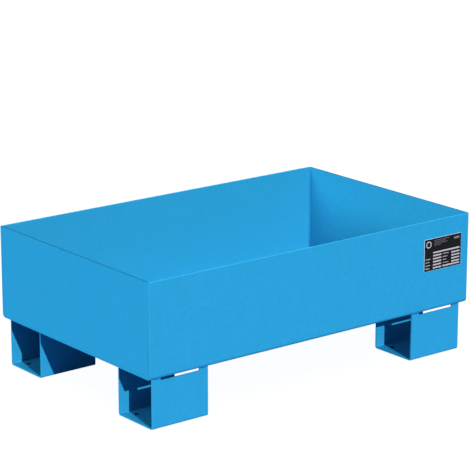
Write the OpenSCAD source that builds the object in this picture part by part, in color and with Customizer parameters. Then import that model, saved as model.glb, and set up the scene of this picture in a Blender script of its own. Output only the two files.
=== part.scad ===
// Spill containment pallet: an open sump tray of welded steel sheet on four short folded legs.
// Origin on the floor under the middle of the tray, +Z up, +X along the tray, -Y towards its front.

/* [Tray] */
// Outside length of the tray, along X
tray_length = 800; // [600:10:1600]
// Outside width of the tray, along Y
tray_width = 500; // [400:10:1200]
// Height of the rim above the floor
rim_height = 290; // [200:5:500]
// Clear height under the tray
clearance = 101; // [60:1:160]
// Thickness of the steel sheet, the same in every piece
sheet = 3; // [2:0.5:3]
// Outside radius of the trough's two long bends
trough_bend = 8; // [5:0.5:8]

/* [Legs] */
// Length of a leg, along X
leg_length = 130; // [124:2:180]
// Width of a leg over its two side plates, along Y
leg_width = 108; // [86:2:140]
// Outside radius of a leg's two bends
leg_bend = 5; // [4.5:0.5:10]
// From the tray's end to the legs, along X
leg_inset_x = 12; // [0:1:60]
// From the tray's long face to the legs, along Y
leg_inset_y = 10; // [9:1:60]
// Length of a welding tab on a side plate, along X
tab_length = 20; // [18:1:30]
// Depth of the recess between two tabs
recess_depth = 7; // [4:0.5:20]

/* [Castor holes] */
// Spacing of the four holes in a leg's base, along X
hole_spacing_x = 80; // [40:1:100]
// Spacing of the four holes in a leg's base, along Y
hole_spacing_y = 60; // [30:1:70]
// Diameter of each hole
hole_diameter = 9; // [6:0.5:12]

/* [Welds] */
// Side of the fillet bead inside the two ends
end_bead = 2; // [1:0.5:2]
// Side of the fillet bead at each leg tab
tab_bead = 4; // [2:0.5:4]
// Length of the bead at each leg tab
tab_bead_length = 17; // [8:1:17]

/* [Rating label] */
// Length of the label, along X
label_length = 101; // [60:1:200]
// Height of the label
label_height = 67; // [40:1:120]
// Thickness of the label
label_thickness = 0.4; // [0.2:0.1:1]
// Radius of the label's corners
label_corner = 2; // [1:0.5:6]
// From the tray's right end to the label
label_inset = 20; // [5:1:200]
// From the rim down to the label
label_drop = 37.5; // [10:0.5:60]

/* [Hidden] */
$fn = 96;
cut = 1;
run_on = 0.3;
paint = [0.16, 0.6, 0.84];
bead_paint = [0.12, 0.54, 0.78];
label_black = [0.08, 0.08, 0.1];

half_length = tray_length / 2;
half_width = tray_width / 2;
tray_depth = rim_height - clearance;
leg_x = half_length - leg_inset_x - leg_length / 2;
leg_y = half_width - leg_inset_y - leg_width / 2;
recess_length = leg_length - 2 * tab_length;

// Turns a flat outline drawn in X and Y into one drawn in Y and Z, thickened along X about x = 0.
module across(thickness) {
    rotate([90, 0, 90])
        linear_extrude(thickness, center = true)
            children();
}

// Outline with square top corners and round bottom corners, standing on y = 0.
module round_bottomed(width, height, radius) {
    translate([-width / 2, radius])
        square([width, height - radius]);
    translate([radius - width / 2, 0])
        square([width - 2 * radius, height]);
    for (side = [-1, 1])
        translate([side * (width / 2 - radius), radius])
            circle(radius);
}

// Section of a sheet folded up at both sides.
module folded_u(width, height, bend) {
    difference() {
        round_bottomed(width, height, bend);
        translate([0, sheet])
            round_bottomed(width - 2 * sheet, height, bend - sheet);
    }
}

// Floor and both long walls of the tray, one sheet with two bends.
module tray_trough() {
    color(paint)
        translate([0, 0, clearance])
            across(tray_length)
                folded_u(tray_width, tray_depth, trough_bend);
}

// Flat plate that closes one end of the trough; side is -1 for left and 1 for right.
module end_plate(side) {
    color(paint)
        translate([side * (half_length - sheet / 2), 0, clearance + sheet])
            across(sheet)
                round_bottomed(tray_width - 2 * sheet, tray_depth - sheet, trough_bend - sheet);
}

// One leg: a folded channel open at both ends, with castor holes in its base and
// a recess in the top of each side plate that leaves two welding tabs.
module leg(side_x, side_y) {
    color(paint)
        translate([side_x * leg_x, side_y * leg_y, 0])
            difference() {
                across(leg_length)
                    folded_u(leg_width, clearance, leg_bend);
                translate([-recess_length / 2, -leg_width / 2 - cut, clearance - recess_depth])
                    cube([recess_length, leg_width + 2 * cut, recess_depth + cut]);
                for (x = [-1, 1], y = [-1, 1])
                    translate([x * hole_spacing_x / 2, y * hole_spacing_y / 2, -cut])
                        cylinder(h = sheet + 2 * cut, d = hole_diameter);
            }
}

// Right-angled section of a fillet bead, with its corner at the origin.
module fillet(size) {
    polygon([[0, 0], [size, 0], [0, size]]);
}

// Quarter turn of the end bead round the trough's inner bend, from the wall down to the floor.
module bead_corner() {
    inner_bend = trough_bend - sheet;
    rotate([-90, 0, 0])
        rotate([0, 90, 0])
            rotate_extrude(angle = 90)
                translate([inner_bend, 0])
                    mirror([1, 0])
                        fillet(end_bead);
}

// Continuous bead that seals one end plate to the trough, from rim to rim along the floor.
// Its straight runs reach a hair past the corners, so that the bead is one solid.
module end_weld(side) {
    bend_y = half_width - trough_bend;
    bend_z = clearance + trough_bend;
    color(bead_paint)
        mirror([side == 1 ? 1 : 0, 0, 0])
            translate([sheet - half_length, 0, 0]) {
                translate([0, 0, clearance + sheet])
                    rotate([90, 0, 0])
                        linear_extrude(2 * (bend_y + run_on), center = true)
                            fillet(end_bead);
                for (rear = [0, 1])
                    mirror([0, rear, 0]) {
                        translate([0, sheet - half_width, bend_z - run_on])
                            linear_extrude(rim_height - bend_z + run_on)
                                fillet(end_bead);
                        translate([0, -bend_y, bend_z])
                            bead_corner();
                    }
            }
}

// Four short beads that hold one leg's tabs to the tray's underside, on the outer faces of its plates.
// Each starts where the recess ends.
module leg_weld(side_x, side_y) {
    bead_x = (recess_length + tab_bead_length) / 2;
    color(bead_paint)
        translate([side_x * leg_x, side_y * leg_y, clearance])
            for (x = [-1, 1], rear = [0, 1])
                mirror([0, rear, 0])
                    translate([x * bead_x, leg_width / 2, 0])
                        across(tab_bead_length)
                            mirror([0, 1])
                                fillet(tab_bead);
}

// Thin self-adhesive plate on the front wall.
module rating_label() {
    low_x = half_length - label_inset - label_length;
    low_z = rim_height - label_drop - label_height;
    color(label_black)
        translate([low_x, -half_width, low_z])
            rotate([90, 0, 0])
                linear_extrude(label_thickness) {
                    translate([label_corner, 0])
                        square([label_length - 2 * label_corner, label_height]);
                    translate([0, label_corner])
                        square([label_length, label_height - 2 * label_corner]);
                    for (x = [label_corner, label_length - label_corner])
                        for (z = [label_corner, label_height - label_corner])
                            translate([x, z])
                                circle(label_corner);
                }
}

tray_trough();
end_plate(-1);  // left_end_plate
end_plate(1);  // right_end_plate
leg(-1, -1);  // front_left_leg
leg(1, -1);  // front_right_leg
leg(-1, 1);  // rear_left_leg
leg(1, 1);  // rear_right_leg
end_weld(-1);  // left_end_weld
end_weld(1);  // right_end_weld
leg_weld(-1, -1);  // front_left_leg_weld
leg_weld(1, -1);  // front_right_leg_weld
leg_weld(-1, 1);  // rear_left_leg_weld
leg_weld(1, 1);  // rear_right_leg_weld
rating_label();
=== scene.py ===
"""Looks of the spill containment pallet: painted sheet, weld beads, rating label and studio."""
import math
import random
import bmesh
import bpy
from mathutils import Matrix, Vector


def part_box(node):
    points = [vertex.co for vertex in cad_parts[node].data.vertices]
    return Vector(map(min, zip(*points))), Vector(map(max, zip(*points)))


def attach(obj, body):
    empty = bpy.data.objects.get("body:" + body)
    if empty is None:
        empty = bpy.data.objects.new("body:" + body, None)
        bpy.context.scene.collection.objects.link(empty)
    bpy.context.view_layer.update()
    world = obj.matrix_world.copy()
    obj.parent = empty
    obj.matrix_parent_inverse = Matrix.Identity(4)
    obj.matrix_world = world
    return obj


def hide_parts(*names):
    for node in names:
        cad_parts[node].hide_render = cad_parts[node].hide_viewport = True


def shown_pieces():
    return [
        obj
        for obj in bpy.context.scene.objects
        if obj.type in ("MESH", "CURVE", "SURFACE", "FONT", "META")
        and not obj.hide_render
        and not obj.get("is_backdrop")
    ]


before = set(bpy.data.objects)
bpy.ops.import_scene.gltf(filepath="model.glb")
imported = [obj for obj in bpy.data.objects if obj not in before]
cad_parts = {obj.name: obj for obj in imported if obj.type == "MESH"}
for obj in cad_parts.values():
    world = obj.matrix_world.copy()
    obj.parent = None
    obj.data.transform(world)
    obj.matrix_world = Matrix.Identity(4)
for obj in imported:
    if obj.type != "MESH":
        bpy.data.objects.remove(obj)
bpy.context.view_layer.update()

# ---------------------------------------------------------------- sizes, in metres
MM = 0.001
LEG_NAMES = ["front_left_leg", "front_right_leg", "rear_left_leg", "rear_right_leg"]
STEEL_NODES = ["tray_trough", "left_end_plate", "right_end_plate"] + LEG_NAMES
TROUGH_LOW, TROUGH_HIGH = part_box("tray_trough")
PLATE_LOW, PLATE_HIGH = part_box("left_end_plate")
SHEET = PLATE_HIGH.x - PLATE_LOW.x
UNDERSIDE_Z = TROUGH_LOW.z
EDGE_ROUND = 0.6 * MM           # cut edges, rounded by deburring and paint
TROUGH_EDGE_ROUND = 1.2 * MM
HOLE_SPACING_X = 80 * MM
HOLE_SPACING_Y = 60 * MM
HOLE_RADIUS = 4.5 * MM

# Strips of painted highlight and painted shade, lighter or darker than the rest of the paint.
# The shades were set by comparing with the photo. They stand for light and shade that it shows
# there, and not for a known property of the paint.
RIM_STRIP = 1.0 * MM            # top of the trough's walls
# painted highlight: the paint along the trough's rims is made this much lighter
RIM_PAINTED_HIGHLIGHT = 1.4
SEAM_WIDTH = 1.6 * MM           # along an end plate's side edges
SEAM_TOP = 170 * MM             # above this height the joint doesn't show
# painted shade: the paint along the lower part of an end plate's joints is made this much darker
SEAM_PAINTED_SHADE = 0.8
PLATE_TOP_STRIP = 0.6 * MM      # top edge of an end plate
# painted shade: the paint on an end plate's top edge is made this much darker
PLATE_TOP_PAINTED_SHADE = 0.62
# painted shade: the paint on the walls of the legs' holes is made this much darker
HOLE_PAINTED_SHADE = 0.04               # walls of the legs' holes

# ---------------------------------------------------------------- colours, linear
PAINT_BLUE = (0.0235, 0.354, 0.635)
PRINT_BLACK = (0.012, 0.010, 0.0095)
PRINT_WHITE = (0.58, 0.51, 0.51)
PRINT_GREY = (0.22, 0.19, 0.20)
FOIL_WHITE = (0.66, 0.78, 0.84)
FLOOR_WHITE = (0.86, 0.86, 0.87)


# ---------------------------------------------------------------- paint grain, in cells per metre
SWAY_CELLS = 5.0                # a sheet that isn't dead flat
CLOUD_CELLS = 28.0
MOTTLE_CELLS = 170.0
PEEL_CELLS = 430.0              # orange peel
GRAIN_CELLS = 1100.0
PRINT_MOTTLE_CELLS = 260.0
PRINT_GRAIN_CELLS = 2600.0


# ---------------------------------------------------------------- shader helpers
class Shader:
    """A material in the making: node() adds a node, its inputs given as values or sockets."""

    def __init__(self, name):
        self.material = bpy.data.materials.new(name)
        self.material.use_nodes = True
        self.tree = self.material.node_tree
        self.tree.nodes.clear()
        self.output = self.tree.nodes.new("ShaderNodeOutputMaterial")

    def node(self, kind, inputs=None, **settings):
        made = self.tree.nodes.new("ShaderNode" + kind)
        for key, value in settings.items():
            setattr(made, key, value)
        for key, value in (inputs or {}).items():
            if isinstance(value, bpy.types.NodeSocket):
                self.tree.links.new(value, made.inputs[key])
            else:
                made.inputs[key].default_value = value
        return made

    def noise(self, scale, detail=2.0):
        """Grey noise in the object's own metres: scale is in cells per metre."""
        where = self.node("TexCoord").outputs["Object"]
        return self.node("TexNoise", {"Vector": where, "Scale": scale, "Detail": detail,
                                      "Roughness": 0.5}).outputs["Fac"]

    def ranged(self, value, low, high, start=0.3, end=0.7):
        """value, taken from start..end to low..high."""
        return self.node("MapRange", {"Value": value, "From Min": start, "From Max": end,
                                      "To Min": low, "To Max": high}).outputs["Result"]

    def math(self, operation, first, second):
        return self.node("Math", {0: first, 1: second}, operation=operation).outputs[0]

    def shaded(self, light, mask, shade):
        """light, times shade where mask is 1 and unchanged where it is 0."""
        return self.math("MULTIPLY", light, self.ranged(mask, 1.0, shade, 0, 1))

    def axes(self):
        """The object's own X, Y and Z, as sockets."""
        where = self.node("TexCoord").outputs["Object"]
        return self.node("SeparateXYZ", {"Vector": where}).outputs

    def seam_shade_mask(self):
        """Mask for painted shade: 1 along an end plate's joints with the trough's walls below
        SEAM_TOP, 0 elsewhere.
        """
        axes = self.axes()
        from_middle = self.math("ABSOLUTE", axes["Y"], 0)
        edge = self.math("GREATER_THAN", from_middle, PLATE_HIGH.y - SEAM_WIDTH)
        low = self.math("LESS_THAN", axes["Z"], SEAM_TOP)
        return self.math("MULTIPLY", edge, low)

    def hole_shade_mask(self):
        """Mask for painted shade: 1 on the walls of the legs' holes and their rounded edges, 0
        elsewhere.
        """
        low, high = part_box("rear_right_leg")
        axes = self.axes()
        squares = []
        for axis, middle, half_spacing in (("X", (low.x + high.x) / 2, HOLE_SPACING_X / 2),
                                           ("Y", (low.y + high.y) / 2, HOLE_SPACING_Y / 2)):
            from_leg = self.math("SUBTRACT", self.math("ABSOLUTE", axes[axis], 0), middle)
            from_hole = self.math("SUBTRACT", self.math("ABSOLUTE", from_leg, 0), half_spacing)
            squares.append(self.math("POWER", self.math("ABSOLUTE", from_hole, 0), 2))
        reach = HOLE_RADIUS + EDGE_ROUND
        return self.math("LESS_THAN", self.math("ADD", *squares), reach * reach)

    def tinted(self, colour, brightness):
        """colour, made lighter or darker by a socket around 1."""
        return self.node("VectorMath", {0: colour, "Scale": brightness},
                         operation="SCALE").outputs[0]

    def bump(self, height, strength, distance, normal=None):
        inputs = {"Height": height, "Strength": strength, "Distance": distance}
        if normal:
            inputs["Normal"] = normal
        return self.node("Bump", inputs).outputs["Normal"]

    def finish(self, **inputs):
        """Closes the material with a Principled shader that has these inputs."""
        named = {key.replace("_", " "): value for key, value in inputs.items()}
        surface = self.node("BsdfPrincipled", named).outputs["BSDF"]
        self.tree.links.new(surface, self.output.inputs["Surface"])
        return self.material


def painted_steel(name, brightness=1.0, peel=1.0, seam=False, holes=False, rims=False):
    """Satin powder coat: orange peel, fine speckle, and a sheet that isn't dead flat.

    seam paints shade on an end plate along the lower part of its joints and on its top edge, holes
    paints shade on the walls of a leg's holes, and rims paints a highlight on the trough's rims."""
    shader = Shader(name)
    sway = shader.noise(SWAY_CELLS, 1.0)
    cloud = shader.noise(CLOUD_CELLS, 3.0)
    mottle = shader.noise(MOTTLE_CELLS)
    grain = shader.noise(GRAIN_CELLS)
    orange_peel = shader.noise(PEEL_CELLS, 1.5)
    light = shader.math("MULTIPLY", shader.ranged(cloud, 0.99, 1.01),
                        shader.ranged(mottle, 0.955, 1.045))
    light = shader.math("MULTIPLY", light, shader.ranged(grain, 0.97, 1.03))
    light = shader.math("MULTIPLY", light, brightness)
    # painted shade in the lower part of an end plate's joints and on its top edge
    if seam:
        light = shader.shaded(light, shader.seam_shade_mask(), SEAM_PAINTED_SHADE)
        on_top = shader.math("GREATER_THAN", shader.axes()["Z"], PLATE_HIGH.z - PLATE_TOP_STRIP)
        light = shader.shaded(light, on_top, PLATE_TOP_PAINTED_SHADE)
    # painted shade on the walls of the legs' holes
    if holes:
        light = shader.shaded(light, shader.hole_shade_mask(), HOLE_PAINTED_SHADE)
    # painted highlight along the trough's rims
    if rims:
        on_rim = shader.math("GREATER_THAN", shader.axes()["Z"], TROUGH_HIGH.z - RIM_STRIP)
        light = shader.shaded(light, on_rim, RIM_PAINTED_HIGHLIGHT)
    colour = shader.tinted(PAINT_BLUE, light)
    normal = shader.bump(sway, 0.25, 1.0 * MM)
    normal = shader.bump(orange_peel, 0.12 * peel, 0.12 * MM, normal)
    return shader.finish(Base_Color=colour, Roughness=shader.ranged(cloud, 0.40, 0.50),
                         IOR=1.5, Specular_IOR_Level=0.32, Normal=normal)


def printed_foil(name, colour, roughness):
    """Ink or bare foil: slightly mottled, with a faint grain."""
    shader = Shader(name)
    mottle = shader.noise(PRINT_MOTTLE_CELLS, 3.0)
    grain = shader.noise(PRINT_GRAIN_CELLS, 1.0)
    light = shader.math("MULTIPLY", shader.ranged(mottle, 0.94, 1.06),
                        shader.ranged(grain, 0.97, 1.03))
    return shader.finish(Base_Color=shader.tinted(colour, light),
                         Roughness=shader.ranged(mottle, roughness - 0.05, roughness + 0.05),
                         Specular_IOR_Level=0.4, Normal=shader.bump(grain, 0.1, 0.03 * MM))


# ---------------------------------------------------------------- mesh helpers
MERGE_DISTANCE = 0.005 * MM
FLAT_ANGLE = math.radians(0.5)      # faces nearer to one plane than this become one face
CUT_EDGE_ANGLE = math.radians(40)   # edges sharper than this are rounded


def mesh_piece(name, bm, material, smooth=True):
    bmesh.ops.recalc_face_normals(bm, faces=bm.faces)
    mesh = bpy.data.meshes.new(name)
    bm.to_mesh(mesh)
    bm.free()
    for face in mesh.polygons:
        face.use_smooth = smooth
    piece = bpy.data.objects.new(name, mesh)
    bpy.context.scene.collection.objects.link(piece)
    mesh.materials.append(material)
    return piece


def smooth_shading():
    """Node group that joins a CAD mesh along its split edges and shades it smooth."""
    group = bpy.data.node_groups.new("weld_and_smooth", "GeometryNodeTree")
    group.interface.new_socket("Geometry", in_out="INPUT", socket_type="NodeSocketGeometry")
    group.interface.new_socket("Geometry", in_out="OUTPUT", socket_type="NodeSocketGeometry")
    source = group.nodes.new("NodeGroupInput")
    merge = group.nodes.new("GeometryNodeMergeByDistance")
    merge.inputs["Distance"].default_value = MERGE_DISTANCE
    smooth = group.nodes.new("GeometryNodeSetShadeSmooth")
    sink = group.nodes.new("NodeGroupOutput")
    group.links.new(source.outputs[0], merge.inputs["Geometry"])
    group.links.new(merge.outputs["Geometry"], smooth.inputs["Geometry"])
    group.links.new(smooth.outputs["Geometry"], sink.inputs[0])
    return group


def round_cut_edges(steel, group, radius):
    """Rounds a CAD sheet's cut edges, as deburring and paint do, without touching its mesh."""
    steel.modifiers.new("weld_and_smooth", "NODES").node_group = group
    flat = steel.modifiers.new("flat_faces", "DECIMATE")
    flat.decimate_type = "DISSOLVE"
    flat.angle_limit = FLAT_ANGLE
    bevel = steel.modifiers.new("rounded_edges", "BEVEL")
    bevel.width = radius
    bevel.segments = 3
    bevel.limit_method = "ANGLE"
    bevel.angle_limit = CUT_EDGE_ANGLE
    bevel.miter_outer = "MITER_ARC"
    steel.modifiers.new("flat_shading", "WEIGHTED_NORMAL").weight = 50


# ---------------------------------------------------------------- weld beads
BEAD_ARC_POINTS = 7             # points across a bead's crown
BEAD_BULGE = 0.28               # how far the crown stands out, as a share of the bead's side
BEAD_STEP = 0.35 * MM           # spacing of a bead's rings along its path
BEAD_REPEAT = 0.05 * MM         # stations nearer than this are one
END_BEAD_SIDE = 1.9 * MM
END_BEAD_PITCH = 2.6 * MM       # spacing of the crescents
END_BEAD_DROP = 1.5 * MM        # from the rim down to the bead's ends
BEND_STEPS = 8                  # stations round a bend
INNER_BEND = 5 * MM             # inside radius of the trough's long bends
TAB_BEAD_SIDE = 3.9 * MM
TAB_BEAD_PITCH = 2.3 * MM
TAB_BEAD_LENGTH = 17 * MM


class Station:
    """A place on a bead's path: its corner, the two surfaces it fills, and the distance run."""

    def __init__(self, corner, first, second, run=0.0):
        self.corner = Vector(corner)
        self.first = Vector(first)
        self.second = Vector(second)
        self.run = run


def straight_run(start, end, first, second):
    """Stations from start to end, both surfaces keeping their directions."""
    start, end = Vector(start), Vector(end)
    steps = max(2, round((end - start).length / BEAD_STEP))
    return [Station(start.lerp(end, i / steps), first, second) for i in range(steps + 1)]


def measured(stations):
    """The same stations without repeats, each with its distance along the path."""
    kept = [stations[0]]
    for station in stations[1:]:
        step = (station.corner - kept[-1].corner).length
        if step > BEAD_REPEAT:
            station.run = kept[-1].run + step
            kept.append(station)
    return kept


def ripple(run, across, pitch, wander):
    """Height of the overlapping crescents that a welder's hand leaves, from 0 to 1."""
    hand = (0.35 * math.sin(run / pitch * 0.61 + wander)
            + 0.25 * math.sin(run / pitch * 0.173 + 2 * wander))
    phase = run / pitch + hand + 0.45 * math.sin(math.pi * across)
    return 1.0 - (phase - math.floor(phase)) ** 1.6


def add_bead(bm, stations, side, pitch, wander, tapered):
    """Sweeps a convex, rippled fillet bead of the given side along the stations."""
    stations = measured(stations)
    length = stations[-1].run
    rings = []
    for station in stations:
        end_gap = min(station.run, length - station.run)
        fade = min(1.0, 0.35 + 0.65 * math.sqrt(end_gap / side)) if tapered else 1.0
        width = side * fade * (0.93 + 0.05 * math.sin(station.run / pitch * 0.37 + wander))
        ring = [bm.verts.new(station.corner)]
        for i in range(BEAD_ARC_POINTS):
            across = i / (BEAD_ARC_POINTS - 1)
            crown = math.sin(math.pi * across)
            height = BEAD_BULGE * (0.2 + 0.8 * ripple(station.run, across, pitch, wander)) * crown
            edge = station.first * (1 - across) + station.second * across
            outward = (station.first + station.second) * 0.5
            ring.append(bm.verts.new(station.corner + (edge + outward * height) * width))
        rings.append(ring)
    for ring, following in zip(rings, rings[1:]):
        for i in range(len(ring)):
            j = (i + 1) % len(ring)
            bm.faces.new((ring[i], ring[j], following[j], following[i]))
    bm.faces.new(rings[0])
    bm.faces.new(rings[-1])


def end_bead_path(side):
    """Down one wall, round the bend, along the floor and up the other wall, inside one end."""
    x = side * (TROUGH_HIGH.x - SHEET)
    wall_y = TROUGH_HIGH.y - SHEET
    floor_z = UNDERSIDE_Z + SHEET
    top_z = TROUGH_HIGH.z - END_BEAD_DROP
    along = Vector((-side, 0, 0))
    bend_y, bend_z = wall_y - INNER_BEND, floor_z + INNER_BEND
    stations = straight_run((x, -wall_y, top_z), (x, -wall_y, bend_z), along, (0, 1, 0))
    for half in (-1, 1):
        turn = []
        for i in range(BEND_STEPS + 1):
            angle = math.radians(90 * i / BEND_STEPS)
            inward = Vector((0, -half * math.cos(angle), math.sin(angle)))
            centre = Vector((x, half * bend_y, bend_z))
            turn.append(Station(centre - inward * INNER_BEND, along, inward))
        if half == -1:
            stations += turn
            stations += straight_run((x, -bend_y, floor_z), (x, bend_y, floor_z), along, (0, 0, 1))
        else:
            stations += reversed(turn)
    stations += straight_run((x, wall_y, bend_z), (x, wall_y, top_z), along, (0, -1, 0))
    return stations


def weld_piece(bm, node, coat):
    """Puts the bead that replaces a CAD weld node in the scene."""
    bead = mesh_piece(node + "_bead", bm, coat)
    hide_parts(node)
    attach(bead, "root")


def lay_end_beads(coat):
    for wander, (node, side) in enumerate((("left_end_weld", -1), ("right_end_weld", 1))):
        bm = bmesh.new()
        add_bead(bm, end_bead_path(side), END_BEAD_SIDE, END_BEAD_PITCH, 1.7 * wander,
                 tapered=False)
        weld_piece(bm, node, coat)


def lay_leg_beads(coat):
    """Four beads a leg, on the outer faces of its tabs, each from the weld's outer end inwards."""
    for wander, leg in enumerate(LEG_NAMES):
        low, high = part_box(leg)
        weld_low, weld_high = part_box(leg + "_weld")
        bm = bmesh.new()
        for start_x, run in ((weld_low.x, 1), (weld_high.x, -1)):
            for face_y, outward in ((low.y, -1), (high.y, 1)):
                start = Vector((start_x, face_y, UNDERSIDE_Z))
                stations = straight_run(start, start + Vector((run * TAB_BEAD_LENGTH, 0, 0)),
                                        (0, outward, 0), (0, 0, -1))
                add_bead(bm, stations, TAB_BEAD_SIDE, TAB_BEAD_PITCH,
                         wander + 2.3 * run + outward, tapered=True)
        weld_piece(bm, leg + "_weld", coat)


# ---------------------------------------------------------------- rating label
FOIL_DEPTH = 0.26 * MM          # the foil; the print stands proud of it so that it is real geometry
FIELD_DEPTH = 0.31 * MM
PRINT_DEPTH = 0.36 * MM
FOIL_CORNER = 1.5 * MM
BORDER_LEFT = 0.9 * MM
BORDER_TOP = 0.8 * MM
BORDER_RIGHT = 0.35 * MM
BORDER_BOTTOM = 0.3 * MM
ROW_PITCH = 0.095               # spacing of the lower rows, as a share of the label's height
DASH_ROWS = ((0.075, 0.66), (0.125, 0.58), (0.175, 0.62), (0.225, 0.44))    # height, right end
DASHES_START = 0.27
DASH_GAP = 0.012


def rounded_outline(x0, z0, x1, z1, radius, steps=5):
    """Rectangle in X and Z with rounded corners, each of this many steps."""
    points = []
    for cx, cz, start in ((x1 - radius, z1 - radius, 0), (x0 + radius, z1 - radius, 90),
                          (x0 + radius, z0 + radius, 180), (x1 - radius, z0 + radius, 270)):
        for i in range(steps + 1):
            angle = math.radians(start + 90 * i / steps)
            points.append((cx + radius * math.cos(angle), cz + radius * math.sin(angle)))
    return points


def add_slab(bm, outline, back, front, slot):
    """A flat slab on the front wall: outline in X and Z, from depth back to front towards -Y."""
    wall_y = TROUGH_LOW.y
    near = [bm.verts.new((x, wall_y - front, z)) for x, z in outline]
    far = [bm.verts.new((x, wall_y - back, z)) for x, z in outline]
    faces = [bm.faces.new(near), bm.faces.new(far[::-1])]
    for i in range(len(near)):
        j = (i + 1) % len(near)
        faces.append(bm.faces.new((near[i], far[i], far[j], near[j])))
    for face in faces:
        face.material_index = slot


def add_ring(bm, x, z, outer, inner, back, front, slot, steps=40):
    """A flat ring on the front wall, between the same depths as a slab."""
    wall_y = TROUGH_LOW.y
    turns = [2 * math.pi * i / steps for i in range(steps)]
    loops = []
    for radius, depth in ((outer, back), (outer, front), (inner, front), (inner, back)):
        loops.append([bm.verts.new((x + radius * math.cos(turn), wall_y - depth,
                                    z + radius * math.sin(turn))) for turn in turns])
    for loop, following in zip(loops, loops[1:] + loops[:1]):
        for i in range(steps):
            j = (i + 1) % steps
            bm.faces.new((loop[i], loop[j], following[j], following[i])).material_index = slot


def make_label():
    """Blank rating label: a plain ring for a mark, and plain dashes and bars for its print."""
    low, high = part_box("rating_label")
    width, height = high.x - low.x, high.z - low.z
    foil, field, white, grey = range(4)
    bm = bmesh.new()
    add_slab(bm, rounded_outline(low.x, low.z, high.x, high.z, FOIL_CORNER), 0, FOIL_DEPTH, foil)
    add_slab(bm, rounded_outline(low.x + BORDER_LEFT, low.z + BORDER_BOTTOM, high.x - BORDER_RIGHT,
                                 high.z - BORDER_TOP, FOIL_CORNER / 2),
             FOIL_DEPTH, FIELD_DEPTH, field)

    def bar(left, right, middle, thick, slot=white):
        """A bar: left and right are shares of the width, middle and thick shares of the height,
        all counted from the label's top left corner."""
        z = high.z - middle * height
        half = thick * height / 2
        outline = rounded_outline(low.x + left * width, z - half, low.x + right * width, z + half,
                                  half * 0.3, 2)
        add_slab(bm, outline, FIELD_DEPTH, PRINT_DEPTH, slot)

    add_ring(bm, low.x + 0.12 * width, high.z - 0.18 * height, 0.072 * width, 0.050 * width,
             FIELD_DEPTH, PRINT_DEPTH, white)
    draw = random.Random(4)
    for middle, right in DASH_ROWS:
        left = DASHES_START
        while left < right:
            dash = draw.uniform(0.02, 0.055)
            bar(left, min(left + dash, right), middle, 0.018, grey)
            left += dash + DASH_GAP
    bar(0.80, 0.95, 0.125, 0.07, grey)
    bar(0.24, 0.965, 0.452, 0.047)
    for row in range(5):
        bar(0.24, 0.465, 0.547 + ROW_PITCH * row, 0.045)
    for row in range(4):
        bar(0.735, 0.96, 0.558 + ROW_PITCH * row, 0.045)
        bar(0.04, 0.165 - 0.02 * (row % 2), 0.63 + 0.096 * row, 0.022)
        bar(0.505, 0.66 - 0.03 * (row % 3), 0.545 + ROW_PITCH * row, 0.02)
    bar(0.50, 0.96, 0.925, 0.045)

    label = mesh_piece("rating_label_plate", bm, printed_foil("bare_foil", FOIL_WHITE, 0.35),
                       smooth=False)
    for name, colour, roughness in (("black_field", PRINT_BLACK, 0.42),
                                    ("white_print", PRINT_WHITE, 0.5),
                                    ("grey_print", PRINT_GREY, 0.5)):
        label.data.materials.append(printed_foil(name, colour, roughness))
    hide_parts("rating_label")
    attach(label, "root")


# ---------------------------------------------------------------- camera
CAMERA_AZIMUTH = math.radians(-38.16)
CAMERA_ELEVATION = math.radians(15.48)
CAMERA_DISTANCE = 4.419
CAMERA_TARGET = Vector((-0.0053, 0.0, 0.2576))
CAMERA_LENS = 169.0             # in millimetres, on a sensor 36 mm wide
SENSOR_WIDTH = 36


def place_camera():
    """Camera with the photo's view, solved together with the object's proportions."""
    data = bpy.data.cameras.new("camera")
    data.lens = CAMERA_LENS
    data.sensor_width = SENSOR_WIDTH
    data.clip_end = 100
    camera = bpy.data.objects.new("camera", data)
    bpy.context.scene.collection.objects.link(camera)
    back = Vector((math.sin(CAMERA_AZIMUTH) * math.cos(CAMERA_ELEVATION),
                   -math.cos(CAMERA_AZIMUTH) * math.cos(CAMERA_ELEVATION),
                   math.sin(CAMERA_ELEVATION)))
    camera.location = CAMERA_TARGET + back * CAMERA_DISTANCE
    camera.rotation_euler = back.to_track_quat("Z", "Y").to_euler()
    bpy.context.scene.camera = camera


# ---------------------------------------------------------------- studio, tuned to the photo
BOUNCE_TINT = (0.14, 0.36, 0.66)
CARD_LIFT = 0.3 * MM            # keeps the card above the floor, which would hide it
FLOOR_GLOW = 0.96
FLOOR_HALF = 20                 # half sides of the floor and the card, in metres
CARD_HALF = 4
FOOT_MARGIN = 7 * MM            # the unlit place stays inside a base's bends
LOW_SKY = (0.05, 0.40, 1.0)
HIGH_SKY = (0.62, 0.82, 1.0)
# Each ramp: from and to, as a share of that direction, and then the values it gives there.
SKY_BLEND = (-0.1, 0.35, 0.0, 1.0)      # upwards, the share of high sky
SKY_UP = (-0.15, 0.6, 0.115, 0.18)      # upwards, strength
SKY_LEFT = (0.2, -1.0, 0.0, 0.12)       # rightwards, strength
# Name: the way it shines, its strength, its spread in degrees, and the bounces it may light.
SUNS = {"key": ((0.215, 1.0, -0.515), 3.02, 0.6, 2),
        "side_fill": ((1.0, -0.05, -0.16), 1.97, 12, 0),
        "rear_fill": ((-0.35, -1.0, -0.02), 2.4, 25, 0),
        "floor_light": ((0.1, 0.3, -1.0), 0.4, 60, 0),
        "right_fill": ((-1.0, -0.05, -0.02), 1.3, 25, 0)}


def sun(name, towards, strength, spread, bounces):
    data = bpy.data.lights.new(name, "SUN")
    data.energy = strength
    data.angle = math.radians(spread)
    data.cycles.max_bounces = bounces
    light = bpy.data.objects.new(name, data)
    bpy.context.scene.collection.objects.link(light)
    light.rotation_euler = Vector(towards).to_track_quat("-Z", "Y").to_euler()
    return light


def shine_only_on(light, receivers, name):
    group = bpy.data.collections.new(name)
    for receiver in receivers:
        group.objects.link(receiver)
    light.light_linking.receiver_collection = group


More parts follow.
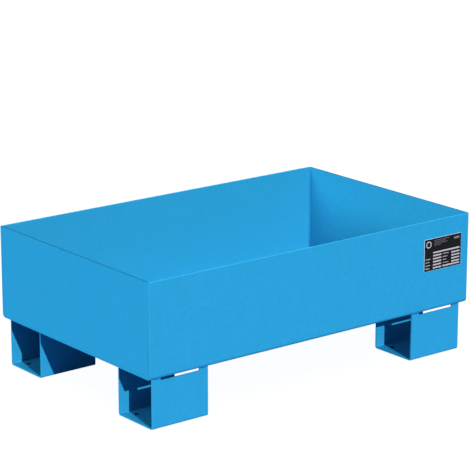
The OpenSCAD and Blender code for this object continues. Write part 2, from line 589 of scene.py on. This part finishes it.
def outside_feet(shader):
    """1 on the floor around the legs, 0 in the unlit places under their bases."""
    low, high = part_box("rear_right_leg")
    axes = shader.axes()
    under = 1
    for axis, start, end in (("X", low.x + FOOT_MARGIN, high.x - FOOT_MARGIN),
                             ("Y", low.y + FOOT_MARGIN, high.y - FOOT_MARGIN)):
        distance = shader.math("ABSOLUTE", axes[axis], 0)
        under = shader.math("MULTIPLY", under, shader.math("GREATER_THAN", distance, start))
        under = shader.math("MULTIPLY", under, shader.math("LESS_THAN", distance, end))
    return shader.math("SUBTRACT", 1, under)


def build_floor():
    """Nearly white floor, mostly lit by its own glow, which throws no light on the object."""
    bm = bmesh.new()
    bmesh.ops.create_grid(bm, x_segments=1, y_segments=1, size=FLOOR_HALF)
    shader = Shader("pale_floor")
    mottle = shader.noise(3.0, 2.0)
    open_floor = outside_feet(shader)
    floor = mesh_piece("floor", bm, shader.finish(
        Base_Color=shader.tinted(FLOOR_WHITE, shader.ranged(mottle, 0.99, 1.01)), Roughness=0.9,
        Specular_IOR_Level=0.1, Emission_Color=shader.tinted((1, 1, 1), open_floor),
        Emission_Strength=FLOOR_GLOW))
    floor.visible_diffuse = False
    floor.visible_glossy = False
    floor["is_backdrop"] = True
    return floor


def build_bounce_card():
    """Stands in for the sunlit floor as the object sees it, in a tint that suits the photo.

    It throws the key's light up, and neither the camera nor a reflection sees it."""
    bm = bmesh.new()
    bmesh.ops.create_grid(bm, x_segments=1, y_segments=1, size=CARD_HALF)
    card = mesh_piece("bounce_card", bm, Shader("bounce_card").finish(
        Base_Color=(*BOUNCE_TINT, 1), Roughness=1.0, Specular_IOR_Level=0.0))
    card.location.z = CARD_LIFT
    card.visible_camera = False
    card.visible_glossy = False
    card.visible_shadow = False
    card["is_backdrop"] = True
    return card


def build_world():
    """Soft sky: pale above, paler to the left, blue and dim below the horizon."""
    world = bpy.data.worlds.new("studio")
    bpy.context.scene.world = world
    world.use_nodes = True
    tree = world.node_tree
    background = tree.nodes["Background"]
    where = tree.nodes.new("ShaderNodeTexCoord")
    axes = tree.nodes.new("ShaderNodeSeparateXYZ")
    total = tree.nodes.new("ShaderNodeMath")
    blend = tree.nodes.new("ShaderNodeMix")
    blend.data_type = "RGBA"
    tree.links.new(where.outputs["Generated"], axes.inputs[0])

    def ramp(axis, span):
        made = tree.nodes.new("ShaderNodeMapRange")
        tree.links.new(axes.outputs[axis], made.inputs["Value"])
        for socket, value in zip(("From Min", "From Max", "To Min", "To Max"), span):
            made.inputs[socket].default_value = value
        return made.outputs["Result"]

    tree.links.new(ramp("Z", SKY_UP), total.inputs[0])
    tree.links.new(ramp("X", SKY_LEFT), total.inputs[1])
    tree.links.new(ramp("Z", SKY_BLEND), blend.inputs["Factor"])
    blend.inputs["A"].default_value = (*LOW_SKY, 1)
    blend.inputs["B"].default_value = (*HIGH_SKY, 1)
    tree.links.new(blend.outputs["Result"], background.inputs["Color"])
    tree.links.new(total.outputs[0], background.inputs["Strength"])


def light_studio(object_pieces, floor, card):
    """Lights the object and card from the front, the floor from above, and fills in the rest."""
    suns = {name: sun(name, *values) for name, values in SUNS.items()}
    for name in ("side_fill", "rear_fill", "right_fill"):
        suns[name].visible_glossy = False
    for name, group, receivers in (("key", "key_on_object", object_pieces + [card]),
                                   ("side_fill", "side_on_object", object_pieces),
                                   ("rear_fill", "rear_on_object", object_pieces),
                                   ("right_fill", "right_on_object", object_pieces),
                                   ("floor_light", "overhead_on_floor", [floor])):
        shine_only_on(suns[name], receivers, group)


# ---------------------------------------------------------------- the object
def dress_steel():
    """Paints the CAD's own sheets and rounds their cut edges."""
    group = smooth_shading()
    # the trough's coat carries a painted highlight on its rims
    trough_coat = painted_steel("satin_blue_powder_coat", rims=True)
    # the end plates' coat carries painted shade at its joints and on its top edge
    plate_coat = painted_steel("satin_blue_powder_coat_painted_seam_shade", seam=True)
    # the legs' coat carries painted shade on the walls of their holes
    leg_coat = painted_steel("satin_blue_powder_coat_painted_hole_shade", holes=True)
    dress = {"tray_trough": (trough_coat, TROUGH_EDGE_ROUND),
             "left_end_plate": (plate_coat, EDGE_ROUND),
             "right_end_plate": (plate_coat, EDGE_ROUND)}
    for name in STEEL_NODES:
        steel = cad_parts[name]
        coat, radius = dress.get(name, (leg_coat, EDGE_ROUND))
        steel.material_slots[0].material = coat
        round_cut_edges(steel, group, radius)


place_camera()
dress_steel()
bead_coat = painted_steel("powder_coat_over_weld", brightness=0.97, peel=1.6)
lay_end_beads(bead_coat)
lay_leg_beads(bead_coat)
make_label()
build_world()
light_studio(list(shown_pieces()), build_floor(), build_bounce_card())
bpy.context.scene.view_settings.view_transform = "Standard"
